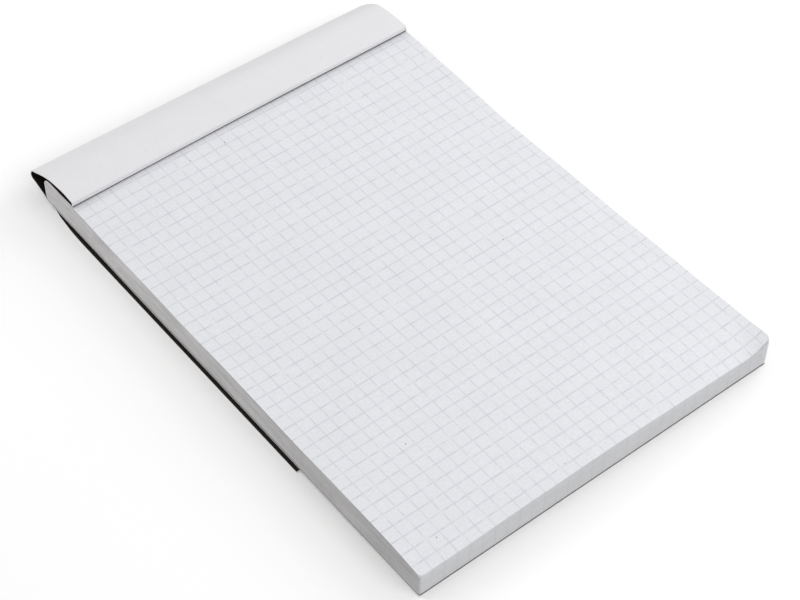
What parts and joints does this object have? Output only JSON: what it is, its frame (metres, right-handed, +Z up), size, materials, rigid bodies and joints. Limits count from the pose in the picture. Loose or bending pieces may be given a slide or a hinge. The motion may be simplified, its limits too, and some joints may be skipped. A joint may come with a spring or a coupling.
{
  "type": "head-bound squared writing pad",
  "caption": "Head-stapled A5 pad of squared sheets with a one-piece card cover, dark outside and pale inside, its front flap folded back over the head and under the pad.",
  "frame": {"origin": "on the table, under the middle of the sheets", "axes": "+X along the bound head, +Y from the foot of the pad to its head, +Z up out of the sheets"},
  "size_m": [0.1485, 0.2188, 0.0155],
  "materials": {
    "sheets": "uncoated cool-white writing paper, faint 5 mm squares",
    "greyboard": "rough grey millboard",
    "cover_card": "matt near-black outside, uncoated off-white inside and at the cut edges",
    "staple_wire": "bright zinc-plated flat wire"
  },
  "bodies": {
    "pad": {"page_block": "sheets", "backing_board": "greyboard", "cover": "cover_card", "staples": "staple_wire"},
    "front_cover_flap": {"cover_flap": "cover_card"}
  },
  "joints": [
    {"name": "flap_crease", "type": "hinge", "parent": "pad", "child": "front_cover_flap", "pos_m": [0, 0.1138, 0.0074], "axis": [1, 0, 0], "range_deg": [0, 175]}
  ]
}
